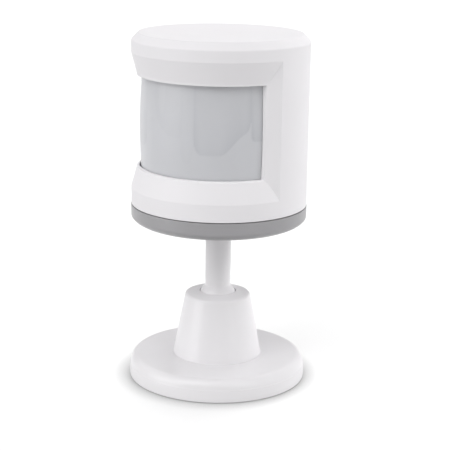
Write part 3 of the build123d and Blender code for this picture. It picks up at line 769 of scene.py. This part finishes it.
def make_button():
    """The reset button: a dished cap with a rounded edge, its flange and its shank."""
    top = button_high.y
    dish = [(0, top - 0.12), (0.7, top - 0.105), (1.25, top - 0.05), (1.55, top - 0.005),
            (BUTTON_DISH_R, top)]
    rest = rounded([(BUTTON_DISH_R, top), (BUTTON_R, top, 0.3), (BUTTON_R, FLANGE_OUT),
                    (FLANGE_R, FLANGE_OUT, 0.08), (FLANGE_R, FLANGE_IN, 0.08),
                    (BUTTON_SHANK_R, FLANGE_IN), (BUTTON_SHANK_R, button_low.y),
                    (0, button_low.y)], steps=6)[1:]
    return sharpen(lathe("button_cap", dish + rest, 96, in_the_back), 40)


def make_pad():
    """The round adhesive foam pad under the foot."""
    radius, top = pad_high.x, pad_high.z
    outline = rounded([(0, 0), (radius, 0, 0.12), (radius, top, 0.12), (0, top)], steps=4)
    return sharpen(lathe("foam_pad", outline, 160), 40)


# ---------------------------------------------------------------- materials

def new_material(name):
    """A material with its nodes, links and main shader."""
    made = bpy.data.materials.new(name)
    made.use_nodes = True
    tree = made.node_tree
    return made, tree.nodes, tree.links, tree.nodes["Principled BSDF"]


def noise(nodes, links, size, detail=3.0, roughness=0.55):
    """A noise with features of about a size in millimetres, fixed to the piece."""
    place = nodes.new("ShaderNodeTexCoord")
    made = nodes.new("ShaderNodeTexNoise")
    made.inputs["Scale"].default_value = 1 / (size * MM)
    made.inputs["Detail"].default_value = detail
    made.inputs["Roughness"].default_value = roughness
    links.new(place.outputs["Object"], made.inputs["Vector"])
    return made.outputs["Fac"]


def ramp(nodes, links, source, low, high, start=0.3, end=0.7):
    """Maps a value's middle stretch onto a range."""
    made = nodes.new("ShaderNodeMapRange")
    made.inputs["From Min"].default_value = start
    made.inputs["From Max"].default_value = end
    made.inputs["To Min"].default_value = low
    made.inputs["To Max"].default_value = high
    links.new(source, made.inputs["Value"])
    return made.outputs["Result"]


def blend_colours(nodes, links, factor, first, second):
    """A mix of two colours by a factor."""
    made = nodes.new("ShaderNodeMix")
    made.data_type = "RGBA"
    links.new(factor, made.inputs["Factor"])
    made.inputs["A"].default_value = (*first, 1)
    made.inputs["B"].default_value = (*second, 1)
    return made.outputs["Result"]


def bump(nodes, links, shader, height, depth):
    """Relief of a depth in millimetres on the shader's normal."""
    made = nodes.new("ShaderNodeBump")
    made.inputs["Strength"].default_value = 1.0
    made.inputs["Distance"].default_value = depth * MM
    links.new(height, made.inputs["Height"])
    links.new(made.outputs["Normal"], shader.inputs["Normal"])


def moulded(name, colour, roughness, grain=0.14, depth=0.002, shade=0.02, specular=0.5):
    """Moulded plastic: faint clouding, a fine spark grain and slight changes of gloss."""
    made, nodes, links, shader = new_material(name)
    cloud = ramp(nodes, links, noise(nodes, links, 7.0), 0, 1)
    darker = tuple(c * (1 - shade) for c in colour)
    links.new(blend_colours(nodes, links, cloud, colour, darker), shader.inputs["Base Color"])
    gloss = ramp(nodes, links, noise(nodes, links, 1.3, 2), 0.94 * roughness, 1.06 * roughness)
    links.new(gloss, shader.inputs["Roughness"])
    shader.inputs["Specular IOR Level"].default_value = specular
    bump(nodes, links, shader, noise(nodes, links, grain, 2), depth)
    return made


def metal(name, colour, roughness, brush=0.05):
    """Plated metal with faint rolling marks and small gloss changes."""
    made, nodes, links, shader = new_material(name)
    shader.inputs["Metallic"].default_value = 1.0
    stain = ramp(nodes, links, noise(nodes, links, 2.5), 0, 1)
    darker = tuple(c * 0.86 for c in colour)
    links.new(blend_colours(nodes, links, stain, colour, darker), shader.inputs["Base Color"])
    links.new(ramp(nodes, links, noise(nodes, links, 0.4), roughness, roughness + 0.12),
              shader.inputs["Roughness"])
    bump(nodes, links, shader, noise(nodes, links, brush, 2), 0.001)
    return made


def circuit(name):
    """Green solder mask over copper traces and bare pads."""
    made, nodes, links, shader = new_material(name)
    place = nodes.new("ShaderNodeTexCoord")
    traces = nodes.new("ShaderNodeTexVoronoi")
    traces.feature = "DISTANCE_TO_EDGE"
    traces.distance = "CHEBYCHEV"
    traces.inputs["Scale"].default_value = 1 / (1.7 * MM)
    links.new(place.outputs["Object"], traces.inputs["Vector"])
    line = ramp(nodes, links, traces.outputs["Distance"], 1, 0, 0.08, 0.13)
    links.new(blend_colours(nodes, links, line, (0.012, 0.10, 0.045), (0.03, 0.22, 0.09)),
              shader.inputs["Base Color"])
    links.new(ramp(nodes, links, noise(nodes, links, 1.0), 0.29, 0.4), shader.inputs["Roughness"])
    bump(nodes, links, shader, line, 0.02)
    return made


def foam(name, colour):
    """Closed-cell foam, pitted all over, with painted shade in its pits."""
    made, nodes, links, shader = new_material(name)
    place = nodes.new("ShaderNodeTexCoord")
    cells = nodes.new("ShaderNodeTexVoronoi")
    cells.inputs["Scale"].default_value = 1 / (0.28 * MM)
    links.new(place.outputs["Object"], cells.inputs["Vector"])
    pit_and_painted_shade = ramp(nodes, links, cells.outputs["Distance"], 0, 1, 0.1, 0.6)
    # The pits are painted darker as well: painted shade in the hollows
    darker = tuple(c * 0.6 for c in colour)
    links.new(blend_colours(nodes, links, pit_and_painted_shade, darker, colour), shader.inputs["Base Color"])
    shader.inputs["Roughness"].default_value = 0.85
    bump(nodes, links, shader, pit_and_painted_shade, 0.05)
    return made


def milky(name):
    """The lens's milky plastic: it lets blurred light through."""
    made, nodes, links, shader = new_material(name)
    # Painted shade: the facets are painted darker along their lower edges, and the painted glint
    # lighter
    facets = nodes.new("ShaderNodeAttribute")
    facets.attribute_name = "facet_painted_shade"
    tone = ramp(nodes, links, facets.outputs["Fac"], 0, 1, -0.5, 1.0)
    links.new(blend_colours(nodes, links, tone, (0.82, 0.825, 0.857), (0.635, 0.645, 0.683)),
              shader.inputs["Base Color"])
    links.new(ramp(nodes, links, noise(nodes, links, 1.0), 0.3, 0.38), shader.inputs["Roughness"])
    shader.inputs["IOR"].default_value = 1.5
    shader.inputs["Transmission Weight"].default_value = 0.3
    shader.inputs["Subsurface Weight"].default_value = 0.5
    shader.inputs["Subsurface Radius"].default_value = (1, 1, 1)
    shader.inputs["Subsurface Scale"].default_value = 1.2 * MM
    bump(nodes, links, shader, noise(nodes, links, 0.3, 2), 0.0015)
    return made


def make_materials():
    """One material for each of the record's slots."""
    return {
        "white_shell": moulded("white_shell", (0.78, 0.767, 0.786), 0.6, 0.14, 0.002, 0.012, 0.4),
        "white_stand": moulded("white_stand", (0.765, 0.752, 0.769), 0.31, 0.3, 0.001),
        "grey_cover": moulded("grey_cover", (0.278, 0.273, 0.284), 0.34, 0.12, 0.002, 0.03, 1.0),
        "lens": milky("lens"),
        "white_inner": moulded("white_inner", (0.76, 0.76, 0.75), 0.5, 0.2, 0.003),
        "dark_inner": moulded("dark_inner", (0.03, 0.03, 0.032), 0.45, 0.1, 0.003, 0.2),
        "steel": metal("steel", (0.62, 0.63, 0.64), 0.3),
        "nickel": metal("nickel", (0.66, 0.65, 0.61), 0.28),
        "gold": metal("gold", (0.83, 0.62, 0.27), 0.28),
        "board": circuit("board"),
        "ceramic": moulded("ceramic", (0.72, 0.70, 0.64), 0.6, 0.08, 0.004, 0.1),
        "filter_glass": moulded("filter_glass", (0.02, 0.021, 0.024), 0.12, 0.5, 0.0005, 0.2),
        "foam": foam("foam", (0.10, 0.10, 0.105)),
        "rubber": moulded("rubber", (0.20, 0.155, 0.12), 0.65, 0.2, 0.004, 0.1),
        "nylon": moulded("nylon", (0.78, 0.75, 0.68), 0.4, 0.25, 0.002),
    }


def wear(obj, material):
    """Gives an object one material."""
    obj.data.materials.clear()
    obj.data.materials.append(material)


# ---------------------------------------------------------------- the model

materials = make_materials()
slot_of = {part["node"]: part["material_slot"] for part in frame["record"]["subparts"]}
for node, obj in frame["nodes"].items():
    for k in range(len(obj.material_slots)):
        obj.material_slots[k].material = materials[slot_of[node]]

PIECES = [
    (make_housing, "housing", "head"),
    (make_lens, "fresnel_lens", "head"),
    (make_cover, "battery_cover", "stem"),
    (make_seal, "cover_seal", "stem"),
    (make_stand, "stand", "stand"),
    (make_stem, "ball_stem", "stem"),
    (make_button, "reset_button", "button"),
    (make_pad, "adhesive_pad", "stand"),
]
for make, node, body in PIECES:
    piece = make()
    wear(piece, materials[slot_of[node]])
    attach(piece, body)
    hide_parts(node)


# ---------------------------------------------------------------- floor, light and camera

def make_floor():
    """A plain pale floor, darker close round the foot, where little light gets in.

    It gives the model no light of its own: the surroundings below the horizon stand in for it.
    """
    half = 1500.0
    corners = [(-half, -half, 0), (half, -half, 0), (half, half, 0), (-half, half, 0)]
    floor = new_mesh_object("floor", corners, [(0, 1, 2, 3)])
    made, nodes, links, shader = new_material("floor")
    cloud = ramp(nodes, links, noise(nodes, links, 60.0), 0, 1)
    pale = blend_colours(nodes, links, cloud, (0.95, 0.95, 0.95), (0.94, 0.94, 0.94))
    corner = nodes.new("ShaderNodeAmbientOcclusion")
    corner.inputs["Distance"].default_value = 4 * MM
    shade = ramp(nodes, links, corner.outputs["AO"], 0.56, 1.03, 0.45, 0.95)
    darken = nodes.new("ShaderNodeVectorMath")
    darken.operation = "SCALE"
    links.new(pale, darken.inputs["Vector"])
    links.new(shade, darken.inputs["Scale"])
    links.new(darken.outputs["Vector"], shader.inputs["Base Color"])
    shader.inputs["Roughness"].default_value = 0.6
    shader.inputs["Specular IOR Level"].default_value = 0.2
    wear(floor, made)
    floor.visible_diffuse = False
    floor.visible_shadow = False


def make_world(brightness):
    """Surroundings that light the model from below the horizon, and look plain white."""
    world = bpy.data.worlds.new("surroundings")
    world.use_nodes = True
    nodes, links = world.node_tree.nodes, world.node_tree.links
    place = nodes.new("ShaderNodeTexCoord")
    split = nodes.new("ShaderNodeSeparateXYZ")
    links.new(place.outputs["Generated"], split.inputs["Vector"])
    below = ramp(nodes, links, split.outputs["Z"], brightness, 0, -0.05, 0.05)
    seen = nodes.new("ShaderNodeLightPath")
    strength = nodes.new("ShaderNodeMath")
    strength.operation = "MAXIMUM"
    links.new(below, strength.inputs[0])
    links.new(seen.outputs["Is Camera Ray"], strength.inputs[1])
    shade = nodes["Background"]
    shade.inputs["Color"].default_value = (1, 1, 1, 1)
    links.new(strength.outputs["Value"], shade.inputs["Strength"])
    bpy.context.scene.world = world


def make_light(azimuth, elevation, brightness, width, gloss):
    """A soft light from far off. At a brightness of 1 it would show a white surface as white.

    Without gloss it only fills: it leaves no reflection of its own on the plastic.
    """
    name = f"softbox_{azimuth % 360}_{elevation}"
    lamp = bpy.data.lights.new(name, "SUN")
    lamp.energy = brightness * math.pi
    lamp.angle = math.radians(width)
    obj = bpy.data.objects.new(name, lamp)
    obj.visible_glossy = gloss
    bpy.context.scene.collection.objects.link(obj)
    level = math.cos(math.radians(elevation))
    towards = Vector(around(azimuth, level, math.sin(math.radians(elevation))))
    obj.rotation_euler = towards.to_track_quat("Z", "Y").to_euler()


def make_camera():
    """The camera: a long lens a little above the head, off to the window's right."""
    camera = bpy.data.cameras.new("camera")
    camera.sensor_width = 36.0
    camera.lens = 107.63
    camera.clip_start = 0.01
    camera.dof.use_dof = False
    obj = bpy.data.objects.new("camera", camera)
    bpy.context.scene.collection.objects.link(obj)
    azimuth, distance, height = 40.5, 224.76, 85.11
    pitch, yaw, roll = 0.2536, 0.0049, 0.0151
    level = Matrix(((1, 0, 0), (0, 0, -1), (0, 1, 0)))
    turn = (Matrix.Rotation(roll, 3, "Z") @ Matrix.Rotation(pitch, 3, "X")
            @ Matrix.Rotation(-yaw, 3, "Y") @ level)
    swing = Matrix.Rotation(math.radians(azimuth), 3, "Z")
    axes = swing @ Matrix((turn[0], -turn[1], -turn[2])).transposed()
    obj.matrix_world = axes.to_4x4()
    obj.location = Vector(around(azimuth, distance, height)) * MM
    bpy.context.scene.camera = obj


# Each light's azimuth and elevation, its brightness, its width in degrees and whether it shows in
# the plastic's gloss. Those behind don't, because there it would bleach the outlines.
LIGHTS = [
    (-8, 42, 0.12, 12, True),
    (12, 42, 0.11, 20, True),
    (80, 37, 0.12, 14, True),
    (-30, 15, 0.42, 45, True),
    (50, 15, 0.06, 45, True),
    (30, 65, 0.23, 45, True),
    (90, 15, 0.14, 45, True),
    (-75, 35, 0.11, 45, True),
    (130, 15, 0.32, 45, False),
    (170, 15, 0.32, 45, False),
    (-110, 15, 0.19, 45, False),
    (-150, 30, 0.4, 45, False),
    (-150, 65, 0.1, 45, False),
    (120, 45, 0.07, 45, False),
]

make_floor()
make_world(0.62)
for light in LIGHTS:
    make_light(*light)
make_camera()
bpy.context.scene.view_settings.view_transform = "Standard"
